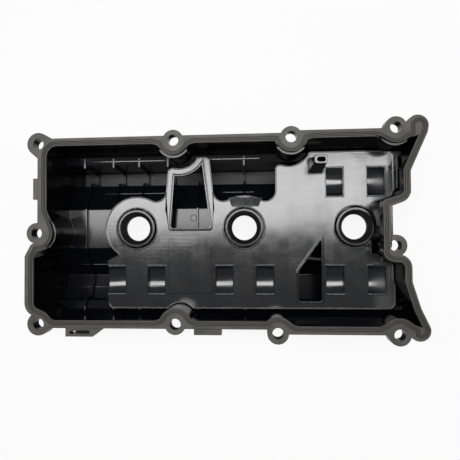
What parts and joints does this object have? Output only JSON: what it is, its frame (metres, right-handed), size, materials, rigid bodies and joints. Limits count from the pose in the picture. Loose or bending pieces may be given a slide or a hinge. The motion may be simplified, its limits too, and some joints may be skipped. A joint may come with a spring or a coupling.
{
  "type": "engine valve cover",
  "caption": "Moulded valve cover with a bolted flange and gasket, two long camshaft humps, a welded oil baffle and sealed spark plug wells.",
  "frame": {"origin": "bottom centre of the cover's bounding box, as it lies on its outer side", "axes": "+X along the bank towards the ear corners, +Z out of the gasket face towards the cylinder head, +Y towards the intake hump"},
  "size_m": [0.3748, 0.207, 0.082],
  "materials": {
    "cover_nylon": "satin black glass-filled nylon",
    "baffle_nylon": "glossy black nylon, faint flow streaks",
    "gasket_rubber": "matt black",
    "seal_rubber": "matt black",
    "insert_brass": "turned"
  },
  "bodies": {
    "root": {"cover": "cover_nylon", "baffle_plate": "baffle_nylon", "perimeter_gasket": "gasket_rubber", "plug_tube_seals": "seal_rubber", "brass_inserts": "insert_brass"}
  },
  "joints": []
}
